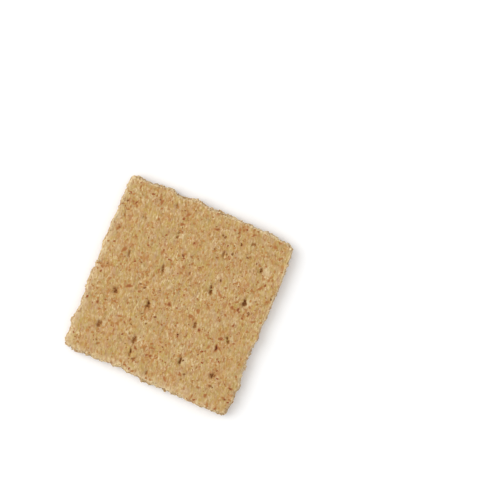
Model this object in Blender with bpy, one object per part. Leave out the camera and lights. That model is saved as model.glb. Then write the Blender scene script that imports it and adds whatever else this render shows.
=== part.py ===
"""A square graham cracker, modelled as the one baked piece of dough that it is.

Metres, +Z up. The origin is on the surface that the cracker lies on, under the middle of
its outline. +X runs from the left side to the right side and +Y from the front side to the
back side. The faint score line of the dough runs along Y, half way across.
"""

import math

import bmesh
import bpy
from mathutils import Vector, kdtree, noise

MM = 0.001

# Size of the cracker
WIDTH = 61.75 * MM  # between the straight lines that the left and right sides follow
DEPTH = 64.0 * MM  # between the lines of the front and back sides
THICKNESS = 5.0 * MM  # from the flat underside to the top between the docking holes
SKEW = math.radians(1.12)  # each pair of sides is turned this far out of square

# Corner radii, counterclockwise from the front left
CORNER_RADII = (2.0 * MM, 2.4 * MM, 3.8 * MM, 2.8 * MM)

# Swells of each side, in mm: how far along the side, how far out, and half width.
# Sides run counterclockwise: front from the left, right from the front, and so on.
SIDE_SWELLS = (
    ((5.5, 0.65, 2.6), (12.6, 0.6, 1.5), (17.5, -0.25, 1.8), (22.0, -0.55, 1.4),
     (32.5, 0.4, 1.6), (42.3, 0.25, 1.8), (47.7, 0.5, 1.7), (52.3, 0.5, 1.8)),
    ((5.6, 0.6, 1.6), (11.1, 0.9, 1.7), (23.7, -0.45, 2.8), (29.7, 0.45, 1.7),
     (38.4, 0.35, 2.4), (48.6, 0.48, 8.5)),
    ((15.5, 0.35, 14.0), (32.3, -0.45, 1.4), (36.7, 0.4, 1.8), (43.0, -0.6, 2.3),
     (47.3, 0.45, 1.7), (57.3, -0.65, 5.0)),
    ((7.0, 0.2, 4.0), (18.3, 0.65, 2.8), (25.0, 0.55, 2.6), (36.8, 0.35, 1.6),
     (41.0, 0.5, 1.5), (49.0, -0.4, 3.2), (55.0, 0.35, 1.5), (59.8, -0.4, 1.8)),
)

# Crumbly relief of the sides: height and wavelength of each layer
SIDE_CRAGS = ((0.34 * MM, 3.4 * MM), (0.32 * MM, 2.1 * MM))
SIDE_CRAG_FLATTEN = 0.55  # crags are this much longer along the side than up it
TOP_CRAG_SHARE = 0.45  # how much of that relief the border of the top has
FOOT_CRAG_SHARE = 0.6  # and the border of the underside

# The rounded edge, a superellipse from the top to the middle of the side
EDGE_ROUNDING = 0.7 * MM  # how far in from the side the top is still falling
EDGE_POWER = 2.6
TOP_BORDER_INSET = 0.28 * MM
FOOT_INSET = 0.75 * MM
FOOT_LIFT = 0.30 * MM  # the edge of the underside curls up by this much
FOOT_LIFT_REACH = 2.4 * MM

# Slow rise and fall of the baked top: height and wavelength of each layer
TOP_SWELLS = ((0.30 * MM, 17.0 * MM), (0.30 * MM, 7.5 * MM), (0.16 * MM, 3.4 * MM))

# Docking holes: two blocks of two columns, with the score line between them
DOCK_COLUMN_SHARES = (0.154, 0.362, 0.650, 0.852)  # of the width, from the left side
DOCK_ROW_SHARES = (0.175, 0.382, 0.589, 0.800)  # of the depth, from the front side
DOCK_STRAYS = {  # holes that miss their place, by row and column, in mm
    (0, 0): (-0.4, 0.0), (0, 3): (-0.3, -0.1), (1, 0): (0.4, -0.35), (1, 3): (0.0, 0.35),
    (2, 2): (0.35, 0.1), (2, 3): (0.35, 1.0), (3, 1): (0.3, -0.35), (3, 3): (1.5, 0.25),
}
DIMPLE_DEPTH = 0.52 * MM  # the shallow hollow that the docking pin pressed
DIMPLE_RADIUS = 3.1 * MM
DIMPLE_DRAG = Vector((0.95, 0.35)) * MM  # from the hole: the dough runs on under the pins
SHUT_DIMPLE_SHARE = 0.4  # of its depth, kept by the dimple of a hole that closed
PIT_RINGS = ((0.60 * MM, 0.55 * MM), (0.30 * MM, 1.60 * MM))  # half width, and depth under the rim
PIT_FLOOR_DEPTH = 1.9 * MM
PIT_LENGTHEN = 1.6  # the pits are ovals, this much longer than wide
PIT_LEAN = 0.40  # radians from the cracker's depth towards its left side
PIT_LEAN_SPREAD = 0.6
SHUT_PIT_SHARE = 0.55  # of its width, kept by a hole that closed

# How far each docking hole stayed open in the oven, from the front row to the back
DOCK_OPENNESS = (
    (0.90, 0.95, 0.90, 0.75),
    (0.90, 1.00, 0.70, 0.75),
    (0.40, 0.80, 1.00, 1.05),
    (0.45, 0.40, 0.42, 0.70),
)

# The score line that the oven has almost closed
SCORE_DEPTH = 0.16 * MM

# The underside: flat, with shallow blisters and the ends of the docking holes
BLISTER_DEPTH = 0.35 * MM
BLISTER_WAVELENGTH = 9.0 * MM
BLISTER_THRESHOLD = 0.22
BLISTER_STEEPNESS = 3.0
EXIT_HALF_WIDTH = 0.42 * MM
EXIT_DEPTH = 0.70 * MM

# Mesh density
TOP_CELLS = 54  # cells of the top along each side
UNDERSIDE_CELLS = TOP_CELLS // 2
SIDE_RINGS = 4  # rings of points between the top's border and the underside's
SHARP_ANGLE = math.radians(50.0)  # edges sharper than this are shaded as edges

CRUMB_COLOUR = (0.539, 0.333, 0.141, 1.0)  # baked whole wheat dough, linear
CRUMB_ROUGHNESS = 0.88


def clear_scene():
    for old in list(bpy.data.objects):
        bpy.data.objects.remove(old, do_unlink=True)


def smooth_step(x):
    x = min(max(x, 0.0), 1.0)
    return x * x * (3.0 - 2.0 * x)


def layered_noise(x, y, z, layers):
    """Sum of smooth noise layers, each given by its height and wavelength."""
    total = 0.0
    for index, (height, wavelength) in enumerate(layers):
        place = Vector((x, y, z)) / wavelength
        total += height * noise.noise(place + Vector((7.3, 3.1, 11.7)) * (index + 1))
    return total


def corner_points():
    """The four corners before rounding, counterclockwise from the front left."""
    across = Vector((math.cos(SKEW), -math.sin(SKEW))) * WIDTH / 2
    back = Vector((-math.sin(SKEW), math.cos(SKEW))) * DEPTH / 2
    return [-across - back, across - back, across + back, back - across]


def rounded_side(corners, index, cells):
    """One side from the middle of its first corner's arc to the middle of its last, with
    each point's outward direction. It is two half arcs and the straight run between them."""
    before, start, end, after = (corners[(index + k) % 4] for k in (-1, 0, 1, 2))
    along = (end - start).normalized()
    outward = Vector((along.y, -along.x))
    length = (end - start).length
    first_radius = CORNER_RADII[index]
    last_radius = CORNER_RADII[(index + 1) % 4]
    first_turn = (math.pi - (before - start).angle(end - start)) / 2
    last_turn = (math.pi - (after - end).angle(start - end)) / 2
    first_cut = first_radius * math.tan(first_turn)
    last_cut = last_radius * math.tan(last_turn)
    pieces = (first_radius * first_turn, length - first_cut - last_cut, last_radius * last_turn)
    points = []
    for step in range(cells + 1):
        travelled = sum(pieces) * step / cells
        if travelled < pieces[0]:
            turn = first_turn - travelled / first_radius
            centre = start + along * first_cut - outward * first_radius
            direction = outward * math.cos(turn) - along * math.sin(turn)
            points.append((centre + direction * first_radius, direction))
        elif travelled <= pieces[0] + pieces[1]:
            points.append((start + along * (first_cut + travelled - pieces[0]), outward))
        else:
            turn = (travelled - pieces[0] - pieces[1]) / last_radius
            centre = end - along * last_cut - outward * last_radius
            direction = outward * math.cos(turn) + along * math.sin(turn)
            points.append((centre + direction * last_radius, direction))
    return points


def outline(cells):
    """The cracker's widest outline, as (place, outward direction) pairs, with the slow
    swells of its sides. The first cells pairs are the front side, and so on round."""
    corners = corner_points()
    lengths = (WIDTH, DEPTH, WIDTH, DEPTH)
    ring = []
    for index in range(4):
        side = rounded_side(corners, index, cells)
        for step in range(cells):
            place, outward = side[step]
            swell = 0.0
            for centre, height, half_width in SIDE_SWELLS[index]:
                away = (step / cells * lengths[index] / MM - centre) / half_width
                swell += height * MM * math.exp(-away * away)
            ring.append((place + outward * swell, outward))
    return ring


def middle_of(points):
    """The middle of the bounding box of some points, seen from above."""
    xs = [point.x for point in points]
    ys = [point.y for point in points]
    return Vector(((min(xs) + max(xs)) / 2, (min(ys) + max(ys)) / 2))


def edge_height(inset):
    """Height of the smooth rounded top at a distance in from the side."""
    share = min(max(1.0 - inset / EDGE_ROUNDING, 0.0), 1.0)
    return THICKNESS / 2 * (1.0 + (1.0 - share**EDGE_POWER) ** (1.0 / EDGE_POWER))


def side_profile():
    """(inset, height) of each ring from the top's border down to the underside's."""
    profile = []
    for step in range(SIDE_RINGS + 2):
        fall = step / (SIDE_RINGS + 1)
        height = edge_height(TOP_BORDER_INSET) * (1.0 - fall) + FOOT_LIFT * fall
        above_middle = 2.0 * height / THICKNESS - 1.0
        reach = TOP_BORDER_INSET if above_middle > 0 else FOOT_INSET
        ends = edge_height(TOP_BORDER_INSET) if above_middle > 0 else FOOT_LIFT
        share = above_middle / (2.0 * ends / THICKNESS - 1.0)
        profile.append((reach * abs(share) ** EDGE_POWER, height))
    return profile


def side_ring(ring, inset, height, crag_share):
    """Points of one ring of the side, pushed in and out by the crumbly relief."""
    points = []
    for place, outward in ring:
        crag = crag_share * layered_noise(place.x, place.y, height / SIDE_CRAG_FLATTEN, SIDE_CRAGS)
        moved = place + outward * (crag - inset)
        points.append(Vector((moved.x, moved.y, height)))
    return points


def patch(border, cells):
    """A grid of (cells + 1) squared points stretched over a closed border of 4 * cells
    points, as a Coons patch: rows run from the front side to the back."""
    front = border[: cells + 1]
    right = border[cells : 2 * cells + 1]
    back = border[2 * cells : 3 * cells + 1][::-1]
    left = (border[3 * cells :] + border[:1])[::-1]
    rows = []
    for j in range(cells + 1):
        t = j / cells
        row = []
        for i in range(cells + 1):
            s = i / cells
            ruled = front[i] * (1 - t) + back[i] * t + left[j] * (1 - s) + right[j] * s
            corners = (front[0] * (1 - s) + front[-1] * s) * (1 - t)
            corners += (back[0] * (1 - s) + back[-1] * s) * t
            row.append(ruled - corners)
        rows.append(row)
    return rows


def dock_holes():
    """Centre, openness and lean of every docking hole."""
    corners = corner_points()
    holes = []
    for row, v in enumerate(DOCK_ROW_SHARES):
        for column, u in enumerate(DOCK_COLUMN_SHARES):
            place = corners[0] + (corners[1] - corners[0]) * u + (corners[3] - corners[0]) * v
            place += Vector(DOCK_STRAYS.get((row, column), (0.0, 0.0))) * MM
            lean = PIT_LEAN + PIT_LEAN_SPREAD * noise.noise(Vector((row * 3.7, column * 5.3, 3.8)))
            holes.append((place, DOCK_OPENNESS[row][column], lean))
    return holes


def top_height(x, y, inset, holes):
    """Height of the baked top: the rounded edge, the swells, the dimples and the score."""
    flat_share = smooth_step((inset - TOP_BORDER_INSET) / EDGE_ROUNDING)
    height = edge_height(inset) + flat_share * layered_noise(x, y, 0.0, TOP_SWELLS)
    for place, openness, _ in holes:
        middle = place + DIMPLE_DRAG
        away = math.hypot(x - middle.x, y - middle.y) / DIMPLE_RADIUS
        depth = DIMPLE_DEPTH * (SHUT_DIMPLE_SHARE + (1.0 - SHUT_DIMPLE_SHARE) * openness)
        height -= depth * math.exp(-away * away * 2.0)
    return height


def underside_height(x, y, inset):
    """Height of the underside: flat, curled up at its edge, hollowed by shallow blisters."""
    curl = FOOT_LIFT * (1.0 - smooth_step((inset - FOOT_INSET) / FOOT_LIFT_REACH))
    swell = noise.noise(Vector((x, y, 0.02)) / BLISTER_WAVELENGTH)
    inner = smooth_step((inset - FOOT_LIFT_REACH) / FOOT_LIFT_REACH)
    return curl + inner * BLISTER_DEPTH * smooth_step((swell - BLISTER_THRESHOLD) * BLISTER_STEEPNESS)


def outline_distance(ring):
    """A function that gives the distance from a point to the nearest point of the outline."""
    tree = kdtree.KDTree(len(ring))
    for index, (place, _) in enumerate(ring):
        tree.insert(place.to_3d(), index)
    tree.balance()
    return lambda x, y: tree.find(Vector((x, y, 0.0)))[2]


def add_grid(bm, rows, border):
    """Vertices and faces of a grid whose outermost vertices are those given, in order."""
    cells = len(rows) - 1
    vertices = {}
    for k, vertex in enumerate(border):
        side, step = divmod(k, cells)
        key = ((step, 0), (cells, step), (cells - step, cells), (0, cells - step))[side]
        vertices[key] = vertex
    for j in range(1, cells):
        for i in range(1, cells):
            vertices[i, j] = bm.verts.new(rows[j][i])
    for j in range(cells):
        for i in range(cells):
            keys = ((i, j), (i + 1, j), (i + 1, j + 1), (i, j + 1))
            bm.faces.new([vertices[key] for key in keys])
    return vertices


def press_pit(bm, vertices, cells, centre, lean, rings, floor_depth):
    """Sinks a leaning oval pit into a grid: the inner vertex nearest to centre moves there, and
    the four faces round it are inset once for each ring of the pit. Depths are along Z."""
    across = Vector((math.cos(lean), math.sin(lean)))
    along = Vector((-math.sin(lean), math.cos(lean)))
    inner = [v for (i, j), v in vertices.items() if 1 < i < cells - 1 and 1 < j < cells - 1]
    hub = min(inner, key=lambda v: (v.co.xy - centre).length)
    hub.co.xy = centre
    rim = hub.co.z
    for half_width, depth in rings:
        bmesh.ops.inset_region(bm, faces=list(hub.link_faces), thickness=half_width / 10)
        for vertex in {v for face in hub.link_faces for v in face.verts} - {hub}:
            direction = (vertex.co.xy - centre).normalized() * half_width
            lengthened = along * direction.dot(along) * PIT_LENGTHEN
            vertex.co.xy = centre + across * direction.dot(across) + lengthened
            vertex.co.z = rim - depth
    hub.co.z = rim - floor_depth


def bridge_halving(bm, fine, coarse):
    """Joins a ring to one with half as many vertices, three triangles to a coarse step."""
    count = len(coarse)
    for k in range(count):
        a, b, c = fine[2 * k], fine[2 * k + 1], fine[(2 * k + 2) % len(fine)]
        d, e = coarse[k], coarse[(k + 1) % count]
        bm.faces.new((b, a, d))
        bm.faces.new((b, d, e))
        bm.faces.new((c, b, e))


def build_cracker_mesh():
    ring = outline(TOP_CELLS)
    distance = outline_distance(ring)
    holes = dock_holes()
    bm = bmesh.new()

    profile = side_profile()
    rings = []
    for level, (inset, height) in enumerate(profile[:-1]):
        crag_share = TOP_CRAG_SHARE if level == 0 else 1.0
        rings.append([bm.verts.new(p) for p in side_ring(ring, inset, height, crag_share)])
    foot_inset, foot_height = profile[-1]
    foot_points = side_ring(ring, foot_inset, foot_height, FOOT_CRAG_SHARE)[::2]
    foot = [bm.verts.new(p) for p in foot_points]
    for upper, lower in zip(rings, rings[1:]):
        for k in range(len(upper)):
            n = (k + 1) % len(upper)
            bm.faces.new((upper[k], lower[k], lower[n], upper[n]))
    bridge_halving(bm, rings[-1], foot)

    top_rows = patch([v.co.copy() for v in rings[0]], TOP_CELLS)
    for row in top_rows:
        for point in row:
            point.z = top_height(point.x, point.y, distance(point.x, point.y), holes)
    for point in (row[TOP_CELLS // 2] for row in top_rows[2:-2]):
        point.z -= SCORE_DEPTH
    top = add_grid(bm, top_rows, rings[0])
    for centre, openness, lean in holes:
        size = SHUT_PIT_SHARE + (1.0 - SHUT_PIT_SHARE) * openness
        pit = [(half_width * size, depth * openness) for half_width, depth in PIT_RINGS]
        press_pit(bm, top, TOP_CELLS, centre, lean, pit, PIT_FLOOR_DEPTH * openness)

    under_rows = patch(foot_points, UNDERSIDE_CELLS)
    for row in under_rows:
        for point in row:
            point.z = underside_height(point.x, point.y, distance(point.x, point.y))
    under_faces_from = len(bm.faces)
    under = add_grid(bm, under_rows, foot)
    bm.faces.ensure_lookup_table()
    bmesh.ops.reverse_faces(bm, faces=bm.faces[under_faces_from:])
    for centre, openness, lean in holes:
        exit_ring = [(EXIT_HALF_WIDTH, -EXIT_DEPTH / 2 * openness)]
        press_pit(bm, under, UNDERSIDE_CELLS, centre, lean, exit_ring, -EXIT_DEPTH * openness)

    bmesh.ops.translate(bm, verts=bm.verts, vec=-middle_of([v.co for v in bm.verts]).to_3d())
    bmesh.ops.recalc_face_normals(bm, faces=bm.faces)
    bmesh.ops.triangulate(bm, faces=bm.faces, quad_method="SHORT_EDGE")
    mesh = bpy.data.meshes.new("cracker")
    bm.to_mesh(mesh)
    bm.free()
    return mesh


def crumb_material():
    material = bpy.data.materials.new("whole_wheat_crumb")
    material.use_nodes = True
    shader = material.node_tree.nodes["Principled BSDF"]
    shader.inputs["Base Color"].default_value = CRUMB_COLOUR
    shader.inputs["Roughness"].default_value = CRUMB_ROUGHNESS
    shader.inputs["Metallic"].default_value = 0.0
    return material


def build_cracker():
    mesh = build_cracker_mesh()
    mesh.shade_smooth()
    mesh.set_sharp_from_angle(angle=SHARP_ANGLE)
    mesh.materials.append(crumb_material())
    cracker = bpy.data.objects.new("cracker", mesh)
    bpy.context.scene.collection.objects.link(cracker)
    return cracker


clear_scene()
build_cracker()
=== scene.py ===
"""The look of one square graham cracker, lying on a pale floor and seen from straight above."""

import math
import random

import bpy
import numpy as np
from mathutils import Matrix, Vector, kdtree, noise


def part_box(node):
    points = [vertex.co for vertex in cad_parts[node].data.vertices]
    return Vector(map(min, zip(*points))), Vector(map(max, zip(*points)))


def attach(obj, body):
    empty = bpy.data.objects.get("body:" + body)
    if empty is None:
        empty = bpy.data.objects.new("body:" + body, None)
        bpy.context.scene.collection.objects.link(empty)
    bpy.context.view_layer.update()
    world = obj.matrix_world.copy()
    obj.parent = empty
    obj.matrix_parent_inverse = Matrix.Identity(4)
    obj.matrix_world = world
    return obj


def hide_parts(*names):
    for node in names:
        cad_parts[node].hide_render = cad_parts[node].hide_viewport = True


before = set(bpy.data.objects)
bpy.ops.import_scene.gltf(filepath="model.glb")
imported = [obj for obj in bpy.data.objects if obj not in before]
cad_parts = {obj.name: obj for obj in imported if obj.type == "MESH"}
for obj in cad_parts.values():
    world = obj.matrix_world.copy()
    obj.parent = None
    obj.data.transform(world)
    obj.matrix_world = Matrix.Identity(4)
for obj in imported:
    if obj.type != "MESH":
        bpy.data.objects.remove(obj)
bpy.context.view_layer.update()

# The dough
# A square of whole wheat dough, cut from a rolled sheet, scored, docked with rows of pins and
# baked until it is dry and crisp right through. It is one piece, and it replaces the solid.
MM = 0.001
WIDTH = 61.75 * MM  # between the straight lines that the left and right sides follow
DEPTH = 64.0 * MM  # and the front and back ones
THICKNESS = 5.0 * MM
SKEW = math.radians(1.12)  # how far out of square each pair of sides is
CORNER_RADII = (2.0 * MM, 2.4 * MM, 3.8 * MM, 2.8 * MM)  # counterclockwise from the front left
SIDE_SWELLS = (  # of each side, in mm: how far along it, how far out, half width
    ((5.5, 0.65, 2.6), (12.6, 0.6, 1.5), (17.5, -0.25, 1.8), (22.0, -0.55, 1.4),
     (32.5, 0.4, 1.6), (42.3, 0.25, 1.8), (47.7, 0.5, 1.7), (52.3, 0.5, 1.8)),
    ((5.6, 0.6, 1.6), (11.1, 0.9, 1.7), (23.7, -0.45, 2.8), (29.7, 0.45, 1.7),
     (38.4, 0.35, 2.4), (48.6, 0.48, 8.5)),
    ((15.5, 0.35, 14.0), (32.3, -0.45, 1.4), (36.7, 0.4, 1.8), (43.0, -0.6, 2.3),
     (47.3, 0.45, 1.7), (57.3, -0.65, 5.0)),
    ((7.0, 0.2, 4.0), (18.3, 0.65, 2.8), (25.0, 0.55, 2.6), (36.8, 0.35, 1.6),
     (41.0, 0.5, 1.5), (49.0, -0.4, 3.2), (55.0, 0.35, 1.5), (59.8, -0.4, 1.8)),
)
SIDE_CRAGS = ((0.34 * MM, 3.4 * MM), (0.32 * MM, 2.1 * MM))  # height and wavelength
SIDE_CRAG_FLATTEN = 0.55  # height of the crags over their length
BORDER_CRAG = 0.45  # share of the crags that the side's uppermost ring has
FOOT_CRAG = 0.60  # and its lowest ring
CLEAN_CUT = (0.66, 0.24)  # where the right side's cleanly cut stretch lies, and its half length
CLEAN_CUT_CRAG = 0.35  # share of the crags that the clean stretch has
TORN_CRAG = 0.40  # how much more the front and back sides are torn
NEAR_RIGHT = 20.0 * MM  # from the middle
NEAR_FRONT_OR_BACK = 27.0 * MM
EDGE_ROUNDING = 0.45 * MM
EDGE_POWER = 2.6  # a higher one makes the rounding squarer
TOP_BORDER_INSET = 0.28 * MM
FOOT_INSET = 0.75 * MM
FOOT_LIFT = 0.30 * MM
FOOT_LIFT_REACH = 2.4 * MM
TOP_SWELLS = (  # height and wavelength
    (0.30 * MM, 17.0 * MM), (0.30 * MM, 7.5 * MM), (0.16 * MM, 3.4 * MM),
)
LAYER_SHIFT = Vector((7.3, 3.1, 11.7))  # keeps the layers of a noise apart
BLISTER_DEPTH = 0.35 * MM
BLISTER_WAVELENGTH = 9.0 * MM
BLISTER_LEVEL = 20.0 * MM  # where the blisters' noise is cut
BLISTER_THRESHOLD = 0.22
BLISTER_STEEPNESS = 3.0

TOP_CELLS = 256
UNDERSIDE_CELLS = TOP_CELLS // 2
SIDE_RINGS = 12


def smooth_step(x):
    """0 up to 0 and 1 from 1, with a smooth rise between them."""
    x = np.clip(x, 0.0, 1.0)
    return x * x * (3.0 - 2.0 * x)


def layered_noise(x, y, z, layers):
    """Sum of smooth noise layers, each given by its height and wavelength."""
    total = 0.0
    for index, (height, wavelength) in enumerate(layers):
        place = Vector((x, y, z)) / wavelength
        total += height * noise.noise(place + LAYER_SHIFT * (index + 1))
    return total


def corner_points():
    """Where the straight sides meet, counterclockwise from the front left."""
    across = Vector((math.cos(SKEW), -math.sin(SKEW))) * WIDTH / 2
    back = Vector((-math.sin(SKEW), math.cos(SKEW))) * DEPTH / 2
    return [-across - back, across - back, across + back, back - across]


def place_at(u, v):
    """The place at a share of the width and a share of the depth."""
    corners = corner_points()
    return corners[0] + (corners[1] - corners[0]) * u + (corners[3] - corners[0]) * v


def rounded_side(corners, index, cells):
    """One side of the outline as (place, outward direction) pairs: half of the arc at its
    first corner, the straight run, and half of the arc at its last corner."""
    before, start, end, after = (corners[(index + k) % 4] for k in (-1, 0, 1, 2))
    along = (end - start).normalized()
    outward = Vector((along.y, -along.x))
    first_radius = CORNER_RADII[index]
    last_radius = CORNER_RADII[(index + 1) % 4]
    first_turn = (math.pi - (before - start).angle(end - start)) / 2
    last_turn = (math.pi - (after - end).angle(start - end)) / 2
    first_cut = first_radius * math.tan(first_turn)
    last_cut = last_radius * math.tan(last_turn)
    straight = (end - start).length - first_cut - last_cut
    first_arc = first_radius * first_turn
    whole = first_arc + straight + last_radius * last_turn
    points = []
    for step in range(cells):
        travelled = whole * step / cells
        if travelled < first_arc:
            turn = first_turn - travelled / first_radius
            centre = start + along * first_cut - outward * first_radius
            direction = outward * math.cos(turn) - along * math.sin(turn)
            points.append((centre + direction * first_radius, direction))
        elif travelled <= first_arc + straight:
            points.append((start + along * (first_cut + travelled - first_arc), outward))
        else:
            turn = (travelled - first_arc - straight) / last_radius
            centre = end - along * last_cut - outward * last_radius
            direction = outward * math.cos(turn) + along * math.sin(turn)
            points.append((centre + direction * last_radius, direction))
    return points


def outline(cells):
    """The widest outline with the swells of its sides, counterclockwise from the front left."""
    corners = corner_points()
    ring = []
    for index, swells in enumerate(SIDE_SWELLS):
        length = (WIDTH, DEPTH)[index % 2] / MM
        for step, (place, outward) in enumerate(rounded_side(corners, index, cells)):
            swell = 0.0
            for centre, height, half_width in swells:
                away = (step / cells * length - centre) / half_width
                swell += height * MM * math.exp(-away * away)
            ring.append((place + outward * swell, outward))
    return ring


def edge_height(inset):
    """Height of the smooth rounded top at a distance in from the side."""
    share = np.clip(1.0 - inset / EDGE_ROUNDING, 0.0, 1.0)
    return THICKNESS / 2 * (1.0 + (1.0 - share**EDGE_POWER) ** (1.0 / EDGE_POWER))


def side_profile():
    """(inset, height) of each ring from the top's border down to the underside's."""
    border_height = float(edge_height(TOP_BORDER_INSET))
    profile = []
    for step in range(SIDE_RINGS + 2):
        fall = step / (SIDE_RINGS + 1)
        height = border_height * (1.0 - fall) + FOOT_LIFT * fall
        above_middle = 2.0 * height / THICKNESS - 1.0
        reach = TOP_BORDER_INSET if above_middle > 0 else FOOT_INSET
        end_height = border_height if above_middle > 0 else FOOT_LIFT
        share = above_middle / (2.0 * end_height / THICKNESS - 1.0)
        profile.append((reach * abs(share) ** EDGE_POWER, height))
    return profile


def raggedness(x, y):
    """How ragged the side is near a point: less where the right side was cut cleanly."""
    middle, half_length = CLEAN_CUT
    away = (y / DEPTH + 0.5 - middle) / half_length
    clean = smooth_step((x - NEAR_RIGHT) / MM) * np.exp(-(away**4))
    return 1.0 - (1.0 - CLEAN_CUT_CRAG) * clean


def side_ring(ring, inset, height, crag_share):
    """Points of one ring of the side, pushed in and out by the crumbly relief."""
    points = []
    for place, outward in ring:
        crag = crag_share * layered_noise(place.x, place.y, height / SIDE_CRAG_FLATTEN, SIDE_CRAGS)
        crag *= raggedness(place.x, place.y)
        crag *= 1.0 + TORN_CRAG * smooth_step((abs(place.y) - NEAR_FRONT_OR_BACK) / MM)
        moved = place + outward * (crag - inset)
        points.append((moved.x, moved.y, height))
    return np.array(points)


def patch(border, cells):
    """A grid of (cells + 1) squared points stretched over a border of 4 * cells points."""
    front = border[: cells + 1]
    right = border[cells : 2 * cells + 1]
    back = border[2 * cells : 3 * cells + 1][::-1]
    left = np.concatenate((border[3 * cells :], border[:1]))[::-1]
    s = np.linspace(0.0, 1.0, cells + 1)[None, :, None]
    t = np.linspace(0.0, 1.0, cells + 1)[:, None, None]
    ruled = front[None] * (1 - t) + back[None] * t + left[:, None] * (1 - s) + right[:, None] * s
    corners = (front[0] * (1 - s) + front[-1] * s) * (1 - t) + (back[0] * (1 - s) + back[-1] * s) * t
    return ruled - corners


# Docking holes, as the pins left them and the oven changed them
DOCK_COLUMN_SHARES = (0.154, 0.362, 0.650, 0.852)
DOCK_ROW_SHARES = (0.175, 0.382, 0.589, 0.800)
DOCK_STRAYS = {  # holes that miss their place, by row and column, in mm
    (0, 0): (-0.4, 0.0), (0, 3): (-0.3, -0.1), (1, 0): (0.4, -0.35), (1, 3): (0.0, 0.35),
    (2, 2): (0.35, 0.1), (2, 3): (0.35, 1.0), (3, 1): (0.3, -0.35), (3, 3): (1.5, 0.25),
}
DOCK_OPENNESS = (  # by row and column, about 1 for a hole that stayed wide open
    (0.90, 0.95, 0.90, 0.75),
    (0.90, 1.00, 0.70, 0.75),
    (0.40, 0.80, 1.00, 1.05),
    (0.45, 0.40, 0.42, 0.70),
)
DIMPLE_DEPTH = 0.52 * MM
DIMPLE_BY_OPENNESS = 0.6  # share of its depth that follows how open the hole is
DIMPLE_RADIUS = 3.1 * MM
DIMPLE_DRAG = Vector((0.95, 0.35)) * MM  # from the hole: the dough runs on under the pins
PALE_AND_LIT_HALO_DRAG = Vector((1.55, 0.65)) * MM  # the drawn dough beside the hole bakes pale, and a highlight is painted there too, on the side that faces the lamp
PALE_AND_LIT_HALO_RADII = (1.5 * MM, 2.5 * MM)  # across and along the hole
FUNNEL_DEPTH = 0.30 * MM
FUNNEL_HALF_WIDTH = 0.70 * MM
FUNNEL_HALF_LENGTH = 1.30 * MM
HOLE_LEAN = 0.30  # how far the holes' long way turns to the left, in radians, and its spread
HOLE_LEAN_SPREAD = 0.6
HOLE_LEAN_STEPS = (3.7, 5.3)  # from row to row and column to column of the noise behind the spread
HOLE_LEAN_SLICE = 3.8
HOLE_LOBES = ((2, 0.40, 1.0), (3, 0.35, -2.3), (5, 0.25, 4.1))  # how many, how high, how turned
HOLE_VARIETY = 40.0  # how much the lobes turn from one end of the cracker to the other
TEAR_DEPTH = 1.35 * MM
TEAR_TURN = 0.41  # from the cracker's own depth to straight up in the photograph, in radians
TEAR_FAN = 0.3  # how far a tear turns for each mm that it lies to the side
HOLE_TEARS = (  # by row and column. In mm: across and along from the hole, half sizes, depth share
    (
        ((-0.25, -0.05, 0.58, 0.92, 0.62), (0.65, 0.45, 0.28, 0.60, 0.60)),
        ((0.20, 0.00, 0.54, 0.80, 0.80), (0.65, 0.75, 0.28, 0.42, 0.70),
         (-0.20, -1.00, 0.28, 0.32, 0.60)),
        ((-0.20, -0.30, 0.42, 0.55, 0.95), (0.20, 0.65, 0.30, 0.48, 0.70),
         (0.95, 0.12, 0.24, 0.24, 0.75)),
        ((0.00, -0.25, 0.34, 0.58, 0.80), (-0.50, 0.40, 0.28, 0.34, 0.55),
         (0.40, 0.50, 0.34, 0.28, 0.65), (0.95, -0.10, 0.24, 0.48, 0.50)),
    ),
    (
        ((0.10, -0.20, 0.42, 0.74, 1.00), (-0.20, 0.70, 0.38, 0.46, 0.60),
         (0.80, 0.80, 0.34, 0.38, 0.45)),
        ((0.10, 0.60, 0.36, 0.58, 1.00), (-0.10, -0.50, 0.46, 0.56, 0.85)),
        ((0.20, 0.80, 0.38, 0.42, 0.65), (0.00, -0.20, 0.42, 0.66, 0.75)),
        ((-0.20, 0.55, 0.34, 0.44, 0.80), (0.20, -0.75, 0.36, 0.50, 0.75)),
    ),
    (
        ((-0.10, 0.20, 0.28, 1.10, 0.40),),
        ((0.10, 0.90, 0.42, 0.52, 0.55), (-0.05, -0.40, 0.40, 0.66, 0.65)),
        ((0.30, 1.30, 0.36, 0.48, 0.85), (0.10, -0.50, 0.46, 0.66, 0.90)),
        ((0.05, 0.10, 0.50, 0.90, 1.30), (0.55, -0.25, 0.38, 0.52, 1.10)),
    ),
    (
        ((0.60, 0.00, 0.28, 0.48, 0.35),),
        ((0.40, 0.70, 0.42, 0.34, 0.45), (-0.20, -0.80, 0.34, 0.42, 0.50)),
        ((-0.20, 0.05, 0.28, 0.80, 0.40), (0.95, 0.05, 0.24, 0.48, 0.35)),
        ((0.15, 0.05, 0.36, 0.75, 0.80),),
    ),
)
HOLE_RAGGEDNESS = 0.45
HOLE_WALL = 1.25  # share of the hole's half width over which its wall falls
PINCH = 0.6  # how far the grid's points are drawn in to holes and marks, for a finer mesh there
HOLE_PINCH_REACH = 2.0 * MM
MARK_PINCH_REACH = 1.0 * MM
EXIT_HALF_WIDTH = 0.42 * MM  # of the blind end of a hole in the underside
EXIT_DEPTH = 0.70 * MM


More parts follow.
